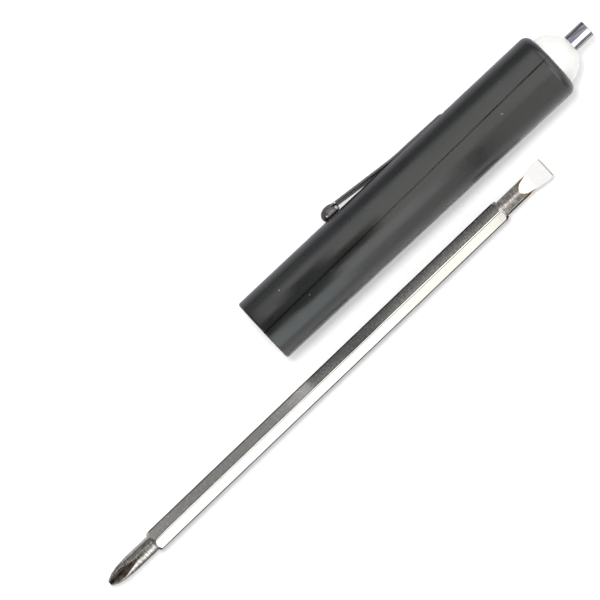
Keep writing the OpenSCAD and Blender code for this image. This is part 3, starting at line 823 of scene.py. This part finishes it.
def satin_nickel(name, tone, scale, depth, worn=0.25, spread=0.09, second=None, heat_tint_and_painted_shade=None):
    """Satin nickel over tooled steel: metal with the marks of its tool along one way."""
    finish, tree, shader = finish_named(name, Base_Color=colour(tone), Metallic=1.0)
    place = add(tree, "TexCoord").outputs["Object"]
    drawn = add(tree, "Mapping", {"Vector": place, "Scale": scale})
    marks = add(tree, "TexNoise", {"Vector": drawn.outputs[0], "Scale": 1.0, "Detail": 4.0,
                                   "Roughness": 0.6})
    bump(tree, shader, marks.outputs["Fac"], 0.3, depth)
    fog = add(tree, "TexNoise", {"Vector": place, "Scale": 1500.0, "Detail": 4.0, "Roughness": 0.65})
    dull_unevenly(tree, shader, fog.outputs["Fac"], worn - spread, worn + spread, start=0.3, end=0.7)
    skin_tone = colour(tone)
    if second:
        shade = add(tree, "MapRange", {"Value": marks.outputs["Fac"], "From Min": 0.4, "From Max": 0.6})
        skin_tone = mixed(tree, shade.outputs[0], skin_tone, colour(second))
    # Another tone from one place on. The neck takes the straw brown of the heat of grinding, and the ground flat a
    # thin band of painted shade at its tip
    if heat_tint_and_painted_shade:
        code, start, end = heat_tint_and_painted_shade
        along = add(tree, "SeparateXYZ", {0: place}).outputs["X"]
        share = add(tree, "MapRange", {"Value": along, "From Min": nose_at.x + start,
                                       "From Max": nose_at.x + end})
        skin_tone = mixed(tree, share.outputs[0], skin_tone, colour(code))
    if second or heat_tint_and_painted_shade:
        tree.links.new(skin_tone, shader.inputs["Base Color"])
    return finish


def neck_skin(x):
    """Radius of the cross end's turned shape at a distance from its nose."""
    if x < nose_len:
        return nose_r + (nose_root_r - nose_r) * x / nose_len
    return min(nose_root_r + (neck_r - nose_root_r) * (x - nose_len) / nose_taper, neck_r)


blade.data.materials.clear()
on_bar, on_neck, on_flat, on_painted_dark_edges, on_flutes_painted_dark = range(5)
for finish in (
    satin_nickel("satin_nickel_on_drawn_bar", "#dcdad6", (300, 5000, 5000), 1.1 * micron, spread=0.04),
    satin_nickel("satin_nickel_on_turned_neck", "#7e7a77", (3300, 1000, 1000), 70 * micron,
                 second="#aaa6a1", heat_tint_and_painted_shade=("#8b7048", press_x - 0.5 * mm, press_x + 1.5 * mm)),
    # The ground flat is painted darker in a thin band at its tip, as painted shade along the edge
    satin_nickel("satin_nickel_on_ground_flat", "#b5b4b5", (900, 7000, 900), 2 * micron, 0.3,
                 heat_tint_and_painted_shade=("#6c6a68", blade_len - 0.25 * mm, blade_len - 0.15 * mm)),
    # Nickel painted near black: painted shade on the roundings of the long edges and on the rim of the flat's tip
    satin_nickel("nickel_with_painted_shade_on_edges", "#1d1b1a", (300, 5000, 5000), 3 * micron, 0.4),
    # The flutes are painted far darker than the bar, as painted shade in the recesses
    satin_nickel("satin_nickel_with_painted_shade_in_flutes", "#4a4641", (700, 2600, 2600), 120 * micron, 0.3,
                 second="#8e8880"),
):
    blade.data.materials.append(finish)

tip_rim = 0.3 * mm
flute_sink = 0.06 * mm
flat_ways = (30, 90, 150)
to_blade = blade_place.inverted()
for face in blade.data.polygons:
    centre = to_blade @ face.center
    facing = to_blade.to_3x3() @ face.normal
    turned_by = abs(math.degrees(math.atan2(facing.y, facing.z)))
    off_flat = min(abs(turned_by - flat_way) for flat_way in flat_ways)
    end_near = min(abs(centre.x - cross_len), abs(centre.x - hex_end))
    sunk = math.hypot(centre.y, centre.z) < neck_skin(centre.x) - flute_sink
    # The rim at the flat's tip is painted dark, as painted shade
    if centre.x > blade_len - tip_rim and facing.x > 0.3:
        face.material_index = on_painted_dark_edges
    elif centre.x > pinch_x or (centre.x > press_x and abs(facing.z) > 0.9):
        face.material_index = on_flat
    # The flutes' faces take the material with painted shade
    elif centre.x < cross_len - hex_bevel and sunk:
        face.material_index = on_flutes_painted_dark
    elif centre.x < cross_len or centre.x > hex_end:
        face.material_index = on_neck
    elif end_near < 1.5 * hex_bevel and abs(facing.x) > 0.2:
        face.material_index = on_neck
    # The roundings of the long edges are painted near black as painted shade, apart from the crest of the one on
    # top
    elif off_flat > 4 and (turned_by > 30 or off_flat < 20):
        face.material_index = on_painted_dark_edges
    else:
        face.material_index = on_bar
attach(blade, "blade")
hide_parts("blade")
